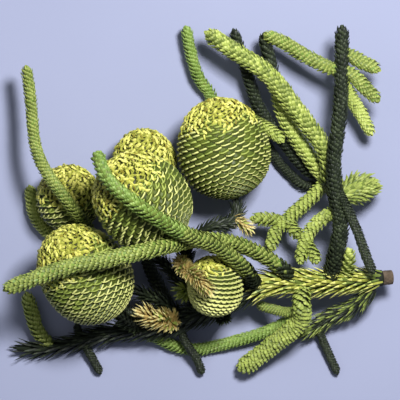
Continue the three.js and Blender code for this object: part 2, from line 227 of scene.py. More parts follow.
# Cone scale finishes: under for the faces below a ridge, top for the slopes above it, lip for the ridge.
# Where an under finish is darker than its top one, that is painted shade under the ridge; the far paler lips
# are partly the ridges' own pale colour, partly painted highlight.
SCALE_UNDER = Finish("scale_under", (0.022, 0.032, 0.006), (0.06, 0.08, 0.014))
SCALE_TOP = Finish("scale_top", (0.03, 0.046, 0.006), (0.085, 0.11, 0.015))
SCALE_LIP = Finish("scale_lip", (0.44, 0.47, 0.13), (0.74, 0.75, 0.27), 0.55)
YOUNG_UNDER = Finish("young_under", (0.05, 0.065, 0.008), (0.12, 0.145, 0.02))
YOUNG_TOP = Finish("young_top", (0.045, 0.07, 0.009), (0.12, 0.155, 0.022))
YOUNG_LIP = Finish("young_lip", (0.2, 0.27, 0.045), (0.4, 0.46, 0.1), 0.55)
CROWN_UNDER = Finish("crown_under", (0.02, 0.024, 0.004), (0.06, 0.066, 0.009))
CROWN_TOP = Finish("crown_top", (0.05, 0.058, 0.008), (0.14, 0.15, 0.018))
CROWN_LIP = Finish("crown_lip", (0.24, 0.26, 0.03), (0.46, 0.47, 0.08), 0.55)
TUFT_UNDER = Finish("tuft_under", (0.16, 0.13, 0.016), (0.34, 0.3, 0.04))
TUFT_TOP = Finish("tuft_top", (0.3, 0.32, 0.04), (0.52, 0.52, 0.09))
TUFT_LIP = Finish("tuft_lip", (0.54, 0.53, 0.08), (0.82, 0.78, 0.22), 0.55)


@dataclass(frozen=True)
class Palette:
    """The finishes of one coat of leaves, dealt out leaf by leaf.

    Attributes:
        stem: Finish of the stem under the leaves.
        leaf: Finish of most leaves.
        tip: Finish of their outer ends, paler than the leaf finish: partly the leaves' own paler tips,
            partly painted light.
        odd_leaf: Finish of the leaves that differ.
        odd_tip: Finish of those leaves' outer ends.
        odd_share: Share of the leaves that differ.
    """

    stem: Finish
    leaf: Finish
    tip: Finish
    odd_leaf: Finish
    odd_tip: Finish
    odd_share: float = 0.2

    def finishes(self) -> tuple[Finish, ...]:
        """List the finishes in the order of a piece's material slots."""
        return self.leaf, self.tip, self.odd_leaf, self.odd_tip, LEAF_SHADE, LEAF_SHADE_TIP


OLIVE = Palette(STEM_GREEN, LEAF_OLIVE, LEAF_OLIVE_TIP, LEAF_FRESH, LEAF_OLIVE_TIP)
FRESH = Palette(STEM_GREEN, LEAF_FRESH, LEAF_FRESH_TIP, LEAF_OLIVE, LEAF_FRESH_TIP)
DEEP = Palette(STEM_GREEN, LEAF_FRESH, LEAF_FRESH_TIP, LEAF_OLIVE, LEAF_FRESH, 0.45)
MOTTLED = Palette(STEM_GREEN, LEAF_OLIVE, LEAF_OLIVE_TIP, LEAF_PALE, LEAF_PALE_TIP, 0.35)
SHADE = Palette(STEM_SHADE, LEAF_SHADE, LEAF_SHADE_TIP, LEAF_SHADE, LEAF_SHADE, 0.3)
PALE = Palette(STEM_PALE, LEAF_PALE, LEAF_PALE_TIP, LEAF_OLIVE, LEAF_PALE_TIP)
RIBBED = Palette(STEM_GREEN, LEAF_OLIVE_TIP, LEAF_PALE, LEAF_OLIVE, LEAF_OLIVE_TIP, 0.35)
DYING = Palette(STEM_PALE, LEAF_DYING, LEAF_DYING_TIP, LEAF_PALE, LEAF_DYING_TIP)
# Bough palettes: the sunny one paints sunlight on the bough's base, the shaded one paints shade on the rest
# of it, and the third mixes leaves of painted shade in among olive ones.
SUNNY_BOUGH = Palette(STEM_SHADE, LEAF_SUNLIT_BOUGH, LEAF_SUNLIT_BOUGH_TIP, LEAF_OLIVE, LEAF_PALE_TIP, 0.3)
HALF_SHADED_BOUGH = Palette(STEM_SHADE, LEAF_OLIVE, LEAF_OLIVE_TIP, LEAF_SHADE, LEAF_SHADE_TIP, 0.45)
SHADED_BOUGH = Palette(STEM_SHADE, LEAF_SHADE, LEAF_SHADE_TIP, LEAF_SHADE, LEAF_SHADE, 0.3)


@dataclass(frozen=True)
class Template:
    """One leaf or cone scale, to be copied many times.

    Attributes:
        points: Corners, each with its place across, along and out.
        triangles: Corner numbers of each face.
        zones: Which of the coat's finishes each face takes.
    """

    points: Array
    triangles: Array
    zones: Array


@dataclass(frozen=True)
class Seats:
    """Places on a round surface where organs grow.

    Attributes:
        point: Where each one starts.
        along: Direction up the surface, towards the limb's tip.
        out: Direction out of the surface.
        walked: Distance of each along the path.
    """

    point: Array
    along: Array
    out: Array
    walked: Array


def stamp(template: Template, seats: Seats, size: Array, lean: Array, twist: Array) -> tuple[Array, Array]:
    """Copy a template onto each seat.

    Args:
        template: The organ to copy.
        seats: Where the copies go.
        size: Size of each copy across, along and out.
        lean: How far each copy leans out from the surface, in radians.
        twist: How far each copy is turned in its own plane, in radians.

    Returns:
        The corners and the triangles of all copies.
    """
    cos_lean, sin_lean = np.cos(lean)[:, None], np.sin(lean)[:, None]
    ahead = seats.along * cos_lean + seats.out * sin_lean
    up = seats.out * cos_lean - seats.along * sin_lean
    across = np.cross(ahead, up)
    cos_twist, sin_twist = np.cos(twist)[:, None], np.sin(twist)[:, None]
    turned_ahead = ahead * cos_twist + across * sin_twist
    turned_across = across * cos_twist - ahead * sin_twist
    local = template.points[None] * size[:, None]
    corners = (
        seats.point[:, None]
        + local[..., 0:1] * turned_across[:, None]
        + local[..., 1:2] * turned_ahead[:, None]
        + local[..., 2:3] * up[:, None]
    )
    count, step = len(seats.walked), len(template.points)
    triangles = template.triangles[None] + step * np.arange(count)[:, None, None]
    return corners.reshape(-1, 3), triangles.reshape(-1, 3)


@dataclass
class Piece:
    """Gathers triangles with their finishes and makes one mesh object of them.

    What would reach under the floor is pressed flat on it.

    Attributes:
        name: Name of the object.
        finishes: Finishes, in the order of the slots that faces name.
        smooth: Whether faces are shaded smooth.
        batches: The corners, triangles and slots so far.
    """

    name: str
    finishes: Sequence[Finish]
    smooth: bool = False
    batches: list[tuple[Array, Array, Array]] = field(default_factory=list)

    PRESSED = 0.001
    LOWEST = 0.0002
    PRESS_FADE = 0.003

    def add(self, points: Array, triangles: Array, slots: Array | int = 0) -> None:
        """Add faces.

        Args:
            points: Corners.
            triangles: Corner numbers, counted within these points.
            slots: Finish number of each triangle, or one for all.
        """
        count = sum(len(batch[0]) for batch in self.batches)
        self.batches.append((points, triangles + count, np.broadcast_to(slots, len(triangles))))

    def make(self, node: str) -> bpy.types.Object:
        """Make the object, on the branch's body, in place of a solid.

        Args:
            node: The solid that it stands for, or helps to.

        Returns:
            The new object.
        """
        points, triangles, slots = (np.concatenate(rows) for rows in zip(*self.batches))
        points = points.astype(np.float32)
        low = points[:, 2] < self.PRESSED
        sunk = np.exp((points[low, 2] - self.PRESSED) / self.PRESS_FADE)
        points[low, 2] = self.LOWEST + (self.PRESSED - self.LOWEST) * sunk
        mesh = bpy.data.meshes.new(self.name)
        mesh.vertices.add(len(points))
        mesh.vertices.foreach_set("co", points.ravel())
        mesh.loops.add(triangles.size)
        mesh.loops.foreach_set("vertex_index", triangles.astype(np.int32).ravel())
        mesh.polygons.add(len(triangles))
        mesh.polygons.foreach_set("loop_start", np.arange(0, triangles.size, 3, dtype=np.int32))
        mesh.polygons.foreach_set("material_index", slots.astype(np.int32))
        mesh.polygons.foreach_set("use_smooth", np.full(len(triangles), self.smooth))
        for finish in self.finishes:
            mesh.materials.append(finish.material())
        mesh.update(calc_edges=True)
        made = bpy.data.objects.new(self.name, mesh)
        bpy.context.scene.collection.objects.link(made)
        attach(made, BODY)
        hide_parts(node)
        return made


class Path:
    """A smooth curve through the points of a route, walked by its length."""

    SPAN_STEPS = 24
    UPRIGHT = 0.8

    def __init__(self, route: Sequence[Point]) -> None:
        """Fit the curve.

        Args:
            route: Points in the routes' own frame.
        """
        knots = np.array(route, dtype=float) + SHIFT
        padded = np.vstack((2 * knots[0] - knots[1], knots, 2 * knots[-1] - knots[-2]))
        spans = [self._span(padded[k : k + 4]) for k in range(len(knots) - 1)]
        self.points = np.vstack((*spans, knots[-1:]))
        gaps = np.linalg.norm(np.diff(self.points, axis=0), axis=1)
        self.walked = np.concatenate(([0.0], np.cumsum(gaps)))
        self.length = float(self.walked[-1])
        self.tangents = unit(np.gradient(self.points, self.walked, axis=0))
        self.normals = self._carried_normals()

    def _span(self, knots: Array) -> Array:
        """Sample the stretch between the middle two of four knots.

        Args:
            knots: The stretch's two ends with the knot before and the knot after them.

        Returns:
            Points from the first end up to, but not at, the second.
        """
        before, gap, after = np.linalg.norm(np.diff(knots, axis=0), axis=1) ** 0.5
        a, b, c, d = knots
        leave = ((b - a) / before - (c - a) / (before + gap) + (c - b) / gap) * gap
        arrive = ((c - b) / gap - (d - b) / (gap + after) + (d - c) / after) * gap
        t = np.linspace(0, 1, self.SPAN_STEPS, endpoint=False)[:, None]
        near = (2 * t**3 - 3 * t**2 + 1) * b + (t**3 - 2 * t**2 + t) * leave
        return near + (3 * t**2 - 2 * t**3) * c + (t**3 - t**2) * arrive

    def _carried_normals(self) -> Array:
        """Carry one normal along the curve, turned as little as possible.

        Returns:
            The normal at each point.
        """
        start = self.tangents[0]
        helper = np.array((0.0, 0.0, 1.0) if abs(start[2]) < self.UPRIGHT else (1.0, 0.0, 0.0))
        normal = unit(np.cross(start, helper))
        carried = []
        for tangent in self.tangents:
            normal = unit(normal - tangent * normal.dot(tangent))
            carried.append(normal)
        return np.array(carried)

    def at(self, walked: Array) -> tuple[Array, Array, Array, Array]:
        """Find places along the curve.

        Args:
            walked: Distances from the start.

        Returns:
            Points, tangents, normals and binormals.
        """
        point, tangent, normal = (
            np.stack([np.interp(walked, self.walked, rows[:, k]) for k in range(3)], axis=-1)
            for rows in (self.points, self.tangents, self.normals)
        )
        tangent = unit(tangent)
        normal = unit(normal - tangent * np.sum(normal * tangent, axis=-1, keepdims=True))
        return point, tangent, normal, np.cross(tangent, normal)


@dataclass(frozen=True)
class Sleeve:
    """A round surface about a path.

    Attributes:
        path: The middle line.
        radius_at: Gives the radius at each walked distance.
    """

    path: Path
    radius_at: RadiusRule

    SLOPE_STEP = 0.0002
    STEEPEST = 4.0
    AREA_STEPS = 1200

    def seats(self, walked: Array, angle: Array) -> Seats:
        """Find places on the surface.

        Args:
            walked: Distances along the path.
            angle: Angles about it, in radians.

        Returns:
            The places with their directions.
        """
        centre, tangent, normal, binormal = self.path.at(walked)
        spoke = normal * np.cos(angle)[:, None] + binormal * np.sin(angle)[:, None]
        low = np.clip(walked - self.SLOPE_STEP, 0, self.path.length)
        high = np.clip(walked + self.SLOPE_STEP, 0, self.path.length)
        slope = (self.radius_at(high) - self.radius_at(low)) / (high - low)
        slope = np.clip(slope, -self.STEEPEST, self.STEEPEST)[:, None]
        point = centre + spoke * self.radius_at(walked)[:, None]
        return Seats(point, unit(tangent + spoke * slope), unit(spoke - tangent * slope), walked)

    def spiral(
        self, area_at: RadiusRule, start: float, stop: float, phase: float, turn: float
    ) -> tuple[Array, Array]:
        """Deal organs out over the surface in a spiral, each with its own share of area.

        Args:
            area_at: Gives the area of one organ at each walked distance.
            start: Where the coat starts.
            stop: Where it stops.
            phase: Angle of the first organ.
            turn: Angle from each organ to the next.

        Returns:
            Walked distances and angles.
        """
        fine = np.linspace(start, stop, self.AREA_STEPS)
        radius = self.radius_at(fine)
        slope = np.gradient(radius, fine)
        density = 2 * math.pi * radius * np.sqrt(1 + slope**2) / area_at(fine)
        steps = (density[1:] + density[:-1]) / 2 * np.diff(fine)
        counted = np.concatenate(([0.0], np.cumsum(steps)))
        number = np.arange(0.5, counted[-1])
        return np.interp(number, counted, fine), phase + number * turn

    def skin(self, walked: Array, sides: int, relief: Relief) -> tuple[Array, Array]:
        """Mesh the surface, closed at both ends.

        Args:
            walked: Distance of each ring.
            sides: Points in a ring.
            relief: Gives how far each point stands out, from its walked distance and its angle.

        Returns:
            Points and triangles.
        """
        turn = 2 * math.pi * np.arange(sides) / sides
        along, angle = (grid.ravel() for grid in np.meshgrid(walked, turn, indexing="ij"))
        seats = self.seats(along, angle)
        ring_points = seats.point + seats.out * relief(along, angle)[:, None]
        ends = self.path.at(np.array((walked[0], walked[-1])))[0]
        rings = len(walked)
        grids = np.meshgrid(np.arange(rings - 1), np.arange(sides), indexing="ij")
        ring, side = (grid.ravel() for grid in grids)
        a, b = ring * sides + side, ring * sides + (side + 1) % sides
        walls = np.vstack((np.stack((a, b, b + sides), 1), np.stack((a, b + sides, a + sides), 1)))
        here = np.arange(sides)
        onward = (here + 1) % sides
        foot, tip = rings * sides, rings * sides + 1
        last = (rings - 1) * sides
        foot_cap = np.stack((np.full(sides, foot), onward, here), 1)
        tip_cap = np.stack((np.full(sides, tip), last + here, last + onward), 1)
        return np.vstack((ring_points, ends)), np.vstack((walls, foot_cap, tip_cap))


@dataclass(frozen=True)
class LeafShape:
    """The leaves of one kind of coat, on a limb of the usual radius.

    Attributes:
        length: Length of a leaf.
        width: Its widest.
        lean: How far it leans out from the stem, in degrees.
        curl: How far it bends over its length, in degrees, outward where positive.
        keel: Height of its keel, as a share of its width.
        stem: Radius of the stem, as a share of the coat's outer radius.
        area: Area of stem that each leaf grows from.
        usual_radius: The limb radius that these sizes are for.
        turn: Angle from each leaf to the next.
        shoulder: Half of the width near the tip, as a share of the widest.
    """

    length: float
    width: float
    lean: float
    curl: float
    keel: float
    stem: float
    area: float
    usual_radius: float
    turn: float = GOLDEN_ANGLE
    shoulder: float = 0.22

    TIP_ROW = 2

    def template(self) -> Template:
        """Make one keeled, pointed leaf, one long: rows of edge, keel and edge, and a tip.

        Returns:
            The leaf.
        """
        stations = ((-0.08, 0.34), (0.26, 0.5), (0.64, 0.3 + self.shoulder / 2), (0.85, self.shoulder))
        curl, slender = math.radians(self.curl), self.width / self.length
        points: list[Point] = []
        for share, half in stations:
            along, out = self._bent(share, curl)
            rise = self.keel * slender * 2 * half
            edge = half * slender
            points += [(-edge, along, out), (0.0, along, out + rise), (edge, along, out)]
        points.append((0.0, *self._bent(1.0, curl)))
        triangles: list[tuple[int, int, int]] = []
        zones: list[int] = []
        for row in range(len(stations) - 1):
            left, keel, right = (3 * row + k for k in range(3))
            quads = ((left, keel), (keel, right), (right, left))
            for a, b in quads:
                triangles += [(a, b, b + 3), (a, b + 3, a + 3)]
            # The outer rows take the paler tip finish: partly the leaves' own paler tips, partly painted
            # light over bases left darker as painted shade.
            zones += [int(row >= self.TIP_ROW)] * 6
        left, keel, right, tip = (3 * len(stations) - 3 + k for k in range(4))
        triangles += [(left, keel, tip), (keel, right, tip), (right, left, tip)]
        zones += [1] * 3
        return Template(np.array(points), np.array(triangles), np.array(zones))

    @staticmethod
    def _bent(share: float, curl: float) -> tuple[float, float]:
        """Find how far along and how far out a bent midline gets.

        Args:
            share: Share of the leaf's length.
            curl: Total bend, in radians.

        Returns:
            Distance along and distance out.
        """
        if abs(curl) < 1e-6:
            return share, 0.0
        return math.sin(curl * share) / curl, (1 - math.cos(curl * share)) / curl


class Coat(Enum):
    """The kinds of leaf coat on the branch."""

    ROPE = LeafShape(0.0108, 0.0064, 34, -14, 0.24, 0.76, 0.000025, 0.0125, math.radians(212.5), 0.34)
    FISHBONE = LeafShape(0.0088, 0.0066, 50, -18, 0.24, 0.74, 0.000019, 0.0092, math.radians(212.5), 0.42)
    BUSHY = LeafShape(0.017, 0.006, 38, -14, 0.26, 0.62, 0.000034, 0.026)
    COMB = LeafShape(0.024, 0.0052, 58, -30, 0.24, 0.34, 0.000013, 0.012)
    BOUGH = LeafShape(0.0275, 0.0056, 25, -2, 0.3, 0.52, 0.000066, 0.028)
    SHAGGY = LeafShape(0.0195, 0.0052, 29, 8, 0.24, 0.52, 0.000036, 0.0135)


@dataclass(frozen=True)
class Limb:
    """One bough, shoot or twig: a stem under a coat of scale leaves. Sizes are in millimetres.

    Attributes:
        name: Name of its solid, or the start of the names of its parts' solids.
        route: Points of its middle line.
        palettes: Palette of each part. The last one serves any further parts.
        radius: Outer radius of the coat at the root, the middle and the tip.
        coat: Kind of leaf coat.
        parts: Ends of the parts' names, each an equal share of the length.
        bare: Length without leaves at the root.
        shaded: Stretch of the length where the leaves are shaded ones.
    """

    name: str
    route: Sequence[Point]
    palettes: tuple[Palette, ...]
    radius: tuple[float, float, float]
    coat: Coat = Coat.ROPE
    parts: tuple[str, ...] = ("",)
    bare: float = 0.0
    shaded: tuple[float, float] = (-100, -100)

    # Metres, degrees and shares.
    LEAF_SCALES = (0.58, 1.15)
    PAST_STEM = 0.8
    TIP_GAP = 0.0004
    ROUND_TIP = 1.6
    FLATTEST = 0.0004
    SIZE_SPREAD = 0.12
    LEAN_SPREAD = 0.25
    TWIST_SPREAD = 6
    SHADE_SPREAD = 0.015
    UNDER_LEAVES = 0.003
    THICK = 0.012
    SIDES = (12, 28)
    STEM_ROW = 0.003
    CUSHION = 0.05
    CUSHION_WAVES = 500
    CUSHION_GAP = 0.001
    LEAST_RINGS = 4

    def path(self) -> Path:
        """Return its middle line, in metres."""
        return Path(np.array(self.route) / PER_METRE)

    def radii(self) -> Array:
        """Return its three outer radii, in metres."""
        return np.array(self.radius) / PER_METRE

    def build(self) -> list[bpy.types.Object]:
        """Make a stem and a coat for each part.

        Returns:
            The new objects.
        """
        path = self.path()
        shape = self.coat.value
        scale = float(np.clip(self.radii()[1] / shape.usual_radius, *self.LEAF_SCALES))
        leaf_length = shape.length * scale
        reach = path.length - self.PAST_STEM * leaf_length
        sleeve = Sleeve(path, self._stem_rule(path, shape, reach))
        area = shape.area * scale**2
        rng = seeded(self.name)
        bare = self.bare / PER_METRE
        phase = rng.uniform(0, math.tau)
        walked, angle = sleeve.spiral(
            lambda s: np.full_like(s, area), bare, reach - self.TIP_GAP, phase, shape.turn
        )
        made = []
        for number, suffix in enumerate(self.parts):
            low = path.length * number / len(self.parts)
            high = path.length * (number + 1) / len(self.parts)
            inside = (walked >= low) & (walked < high)
            seats = sleeve.seats(walked[inside], angle[inside])
            node = self.name + suffix
            palette = self.palettes[min(number, len(self.palettes) - 1)]
            made.append(self._coat(node, seats, shape, leaf_length, palette, rng))
            low = max(low, bare - self.UNDER_LEAVES)
            made.append(self._stem(node, sleeve, low, min(high, reach), palette))
        return made

    def _stem_rule(self, path: Path, shape: LeafShape, reach: float) -> RadiusRule:
        """Give the stem's radius along the path, with a round end.

        Args:
            path: The middle line.
            shape: The leaves' shape, which sets how thick the stem is.
            reach: Where the stem ends.

        Returns:
            The rule.
        """
        radii = shape.stem * self.radii()

        def rule(walked: Array) -> Array:
            """Give the radius at each walked distance."""
            plain = np.interp(walked / path.length, (0.0, 0.5, 1.0), radii)
            to_end = np.clip((reach - walked) / (self.ROUND_TIP * radii[2]), 0.0, 1.0)
            return plain * np.sqrt(np.maximum(1 - (1 - to_end) ** 2, self.FLATTEST))

        return rule

    def _coat(
        self,
        node: str,
        seats: Seats,
        shape: LeafShape,
        length: float,
        palette: Palette,
        rng: np.random.Generator,
    ) -> bpy.types.Object:
        """Make one part's leaves.

        Args:
            node: Name of the part's solid.
            seats: Where the leaves grow.
            shape: Their shape.
            length: Their usual length.
            palette: Their finishes.
            rng: The limb's source of chance.

        Returns:
            The leaves' object.
        """
        template = shape.template()
        count = len(seats.walked)
        size = length * spread(rng, (count, 1), 1, self.SIZE_SPREAD) * np.ones((1, 3))
        lean = np.radians(shape.lean * spread(rng, count, 1, self.LEAN_SPREAD))
        twist = np.radians(spread(rng, count, 0, self.TWIST_SPREAD))
        points, triangles = stamp(template, seats, size, lean, twist)
        mix = (rng.random(count) < palette.odd_share).astype(int)
        place = seats.walked - spread(rng, count, 0, self.SHADE_SPREAD)
        mix[(place > self.shaded[0] / PER_METRE) & (place < self.shaded[1] / PER_METRE)] = 2
        slots = (template.zones[None] + 2 * mix[:, None]).ravel()
        piece = Piece(f"{node}_leaves", palette.finishes())
        piece.add(points, triangles, slots)
        return piece.make(node)

    def _stem(
        self, node: str, sleeve: Sleeve, low: float, high: float, palette: Palette
    ) -> bpy.types.Object:
        """Make one part's stem, with the cushions that the leaves grow from.

        Args:
            node: Name of the part's solid.
            sleeve: The stem's surface.
            low: Where the part starts.
            high: Where it ends.
            palette: Its finishes.

        Returns:
            The stem's object.
        """
        thick = self.radii().max() * self.coat.value.stem
        sides = self.SIDES[int(thick >= self.THICK)]
        rings = max(self.LEAST_RINGS, round((high - low) / self.STEM_ROW))
        turns = round(sides / 4)

        def cushions(walked: Array, angle: Array) -> Array:
            """Give the relief of each point."""
            steps = self.CUSHION_WAVES * walked
            wave = np.cos(turns * angle + steps) * np.cos(turns * angle - steps)
            return self.CUSHION * thick * wave * (walked > low) * (walked < high - self.CUSHION_GAP)

        points, triangles = sleeve.skin(np.linspace(low, high, rings), sides, cushions)
        piece = Piece(f"{node}_stem", (palette.stem,), smooth=True)
        piece.add(points, triangles)
        return piece.make(node)


@dataclass(frozen=True)
class Cone:
    """A seed cone: a core under a coat of ridged scales, with a tuft of curled spines on its far end.

    Attributes:
        name: Name of its solid.
        centre: Its middle.
        axis: Direction from the stalk to the tufted end.
        radius: Outer radius at the widest.
        half_length: Half of its length.
        scale_area: Area of the core that each scale covers at the widest.
        turn: Angle from each scale to the next.
        ridge_slope: Slope of the ridges about the axis, in degrees.
        young_from: Share of the length where yellow scales start to mix in.
        tuft_from: Share of the length where the tuft starts.
        horned: Share of the scales that carry a horn.
        pale_slopes: Whether the slopes above the ridges are as pale as the ridges, painted highlight
            included.
        rise: How far a scale stands out from the core.
    """

    name: str
    centre: Point
    axis: Point
    radius: float
    half_length: float
    scale_area: float = 0.000168
    turn: float = -GOLDEN_ANGLE
    ridge_slope: float = 10.0
    young_from: float = 0.34
    tuft_from: float = 0.78
    horned: float = 0.5
    pale_slopes: bool = False
    rise: float = 0.0056

    # Metres, degrees and shares.
    TAPER = 0.07
    BULGE = 2.2
    FLATTEST = 0.0002
    END_GAP = 0.0002
    CORE_SIDES = 40
    CORE_RINGS = 36
    CORE_RELIEF = 0.0004
    CORE_WAVES = (9, 300)
    SMALLEST = 0.42
    SCALE_ACROSS = 1.36
    SCALE_ALONG = 1.3
    SIZE_SPREAD = 0.08
    LEAN_SPREAD = 3
    SLOPE_SPREAD = 7
    RIDGE_HALF = 0.3
    HORN = LeafShape(1.0, 0.3, 0, -20, 0.5, 0, 0, 1, shoulder=0.3)
    HORN_SIZE = 0.9
    HORN_ALONG_RIDGE = 0.42
    HORN_LIFT = 0.72
    HORN_LEAN = 5
    HORN_TURN = 52
    SPINE = LeafShape(1.0, 0.5, 0, -64, 0.5, 0, 0, 1, shoulder=0.34)
    SPINE_AREA = 0.000072
    SPINE_SIZE = (1.24, 0.24)
    SPINE_LEAN = (30, 20)
    SPINE_TWIST = 60
    SPINE_LIFT = 0.45
    SPINE_KINDS = (0.12, 0.38, 0.5)
    THIN_FROM = 0.16
    THIN_OVER = 0.14
    RAGGED = 0.05
    LIP = 2
    YOUNG, CROWN = 3, 6
    BODY = (
        SCALE_UNDER, SCALE_TOP, SCALE_LIP, YOUNG_UNDER, YOUNG_TOP, YOUNG_LIP,
        CROWN_UNDER, CROWN_TOP, CROWN_LIP,
    )
    TUFT = (TUFT_UNDER, TUFT_TOP, TUFT_LIP)

    def build(self) -> list[bpy.types.Object]:
        """Make the core, the scales and the tuft.

        Returns:
            The new objects.
        """
        middle, axis = np.array(self.centre), unit(np.array(self.axis))
        reach = self.half_length - self.rise
        path = Path((tuple(middle - axis * reach), tuple(middle + axis * reach)))
        sleeve = Sleeve(path, self._core_rule(path))
        rng = seeded(self.name)
        return [self._core(sleeve), self._scales(sleeve, rng), self._tuft(sleeve, rng)]

    def _core_rule(self, path: Path) -> RadiusRule:
        """Give the core's radius along its axis.

        Args:
            path: The axis.

        Returns:
            The rule.
        """
        widest = self.radius - self.rise

        def rule(walked: Array) -> Array:
            """Give the radius at each walked distance."""
            t = np.clip(2 * walked / path.length - 1, -1, 1)
            round_share = np.sqrt(np.maximum(1 - np.abs(t) ** self.BULGE, self.FLATTEST))
            return widest * round_share * (1 - self.TAPER * t)

        return rule

    def _core(self, sleeve: Sleeve) -> bpy.types.Object:
        """Make the core that shows between the scales, near-black as painted shade in those gaps.

        Args:
            sleeve: The core's surface.

        Returns:
            Its object.
        """
        turn = np.linspace(0, math.pi, self.CORE_RINGS)
        walked = sleeve.path.length * (1 - np.cos(turn)) / 2
        round_waves, long_waves = self.CORE_WAVES
        points, triangles = sleeve.skin(
            walked, self.CORE_SIDES, lambda s, a: self.CORE_RELIEF * np.cos(round_waves * a + long_waves * s)
        )
        piece = Piece(f"{self.name}_core", (SCALE_CORE,), smooth=True)
        piece.add(points, triangles)
        return piece.make(self.name)

    def _scales(self, sleeve: Sleeve, rng: np.random.Generator) -> bpy.types.Object:
        """Make the ridged scales, smaller towards both ends, and the horns that some of them carry.

        Args:
            sleeve: The core's surface.
            rng: The cone's source of chance.

        Returns:
            Their object.
        """
        length, widest = sleeve.path.length, self.radius - self.rise

        def shrink(walked: Array) -> Array:
            """Give each scale's share of the usual area."""
            return np.clip((sleeve.radius_at(walked) / widest) ** 2, self.SMALLEST, 1.0)

        phase = rng.uniform(0, math.tau)
        walked, angle = sleeve.spiral(
            lambda s: self.scale_area * shrink(s), self.END_GAP, length - self.END_GAP, phase, self.turn
        )
        seats = sleeve.seats(walked, angle)
        count = len(walked)
        small = np.sqrt(shrink(walked))
        cell = math.sqrt(self.scale_area) * small
        usual = np.stack((self.SCALE_ACROSS * cell, self.SCALE_ALONG * cell, self.rise * small), axis=1)
        size = usual * spread(rng, (count, 3), 1, self.SIZE_SPREAD)
        lean = np.radians(spread(rng, count, 0, self.LEAN_SPREAD))
        slope = spread(rng, count, self.ridge_slope, self.SLOPE_SPREAD)
        young = (walked / length - self.young_from) / (self.tuft_from - self.young_from)
        kind = self.YOUNG * (rng.random(count) < young).astype(int)
        kind[walked > spread(rng, count, self.tuft_from, self.RAGGED) * length] = self.CROWN
        piece = Piece(f"{self.name}_scales", self.BODY)
        template = self._scale_template()
        points, triangles = stamp(template, seats, size, lean, np.radians(-slope))
        piece.add(points, triangles, (template.zones[None] + kind[:, None]).ravel())
        horned = rng.random(count) < self.horned
        bearers = sleeve.seats(walked[horned], angle[horned])
        self._add_horns(piece, bearers, cell[horned], slope[horned], kind[horned])
        return piece.make(self.name)

    def _add_horns(self, piece: Piece, seats: Seats, cell: Array, slope: Array, kind: Array) -> None:
        """Add horns that rise from the ridges' ends.

        Args:
            piece: The piece that gets them.
            seats: Where their scales grow.
            cell: Width of each scale's share of the surface.
            slope: Slope of each ridge, in degrees.
            kind: Slot number that each scale's finishes start from.
        """
        across = np.cross(seats.along, seats.out)
        tilt = np.radians(slope)[:, None]
        ridge = across * np.cos(tilt) + seats.along * np.sin(tilt)
        lift = seats.out * (self.rise * self.HORN_LIFT)
        foot = seats.point - ridge * (self.HORN_ALONG_RIDGE * cell)[:, None] + lift
        raised = Seats(foot, seats.along, seats.out, seats.walked)
        template = self.HORN.template()
        size = np.stack((cell, cell, cell), axis=1) * self.HORN_SIZE
        lean = np.full(len(cell), math.radians(self.HORN_LEAN))
        points, triangles = stamp(template, raised, size, lean, np.radians(self.HORN_TURN - slope))
        piece.add(points, triangles, np.repeat(self.LIP + kind, len(template.triangles)))

    def _tuft(self, sleeve: Sleeve, rng: np.random.Generator) -> bpy.types.Object:
        """Make the yellow curled spines of the far end, thinning out down the cone.

        Args:
            sleeve: The core's surface.
            rng: The cone's source of chance.

        Returns:
            Their object.
        """
        length = sleeve.path.length
        start = (self.tuft_from - self.THIN_FROM) * length
        walked, angle = sleeve.spiral(
            lambda s: np.full_like(s, self.SPINE_AREA), start, length - self.END_GAP, 0.0, GOLDEN_ANGLE
        )
        kept = rng.random(len(walked)) < (walked - start) / (self.THIN_OVER * length)
        bare = sleeve.seats(walked[kept], angle[kept])
        foot = bare.point + bare.out * (self.rise * self.SPINE_LIFT)
        seats = Seats(foot, bare.along, bare.out, bare.walked)
        count = len(seats.walked)
        size = math.sqrt(self.SPINE_AREA) * np.ones((1, 3)) * spread(rng, (count, 1), *self.SPINE_SIZE)
        lean = np.radians(spread(rng, count, *self.SPINE_LEAN))
        twist = np.radians(spread(rng, count, 0, self.SPINE_TWIST))
        template = self.SPINE.template()
        points, triangles = stamp(template, seats, size, lean, twist)
        kind = rng.choice(len(self.TUFT), count, p=self.SPINE_KINDS)
        zones = np.minimum(kind[:, None] + template.zones[None], self.LIP).ravel()
        piece = Piece(f"{self.name}_tuft", self.TUFT)
        piece.add(points, triangles, zones)
        return piece.make(self.name)

    def _scale_template(self) -> Template:
        """Make one scale: a rhombus with a thin bent ridge across it, undercut on its lower side.

        The columns give place across, height and reach along. The profile gives place along and height.

        Returns:
            The scale.
        """
        columns = (
            (-0.44, 0.45, 0.32), (-0.28, 0.88, 0.64), (-0.08, 1.0, 0.95),
            (0.12, 1.0, 0.93), (0.29, 0.85, 0.62), (0.44, 0.5, 0.32),
        )
        profile = (
            (-0.5, -0.1), (-0.18, 0.1), (-0.14, 0.6), (-0.085, 1.0), (0.045, 1.0), (0.14, 0.36),
            (0.5, -0.1),
        )
        points: list[Point] = [(-0.53, 0.04, 0.05), (0.53, 0.02, 0.05)]
        for across, height, reach in columns:
            bend = 0.6 * across**2 if across < 0 else 0.12 * across
            for along, out in profile:
                on_rim = abs(along) > self.RIDGE_HALF
                points.append((across, along * reach if on_rim else along + bend, out * height))
        rows = len(profile)
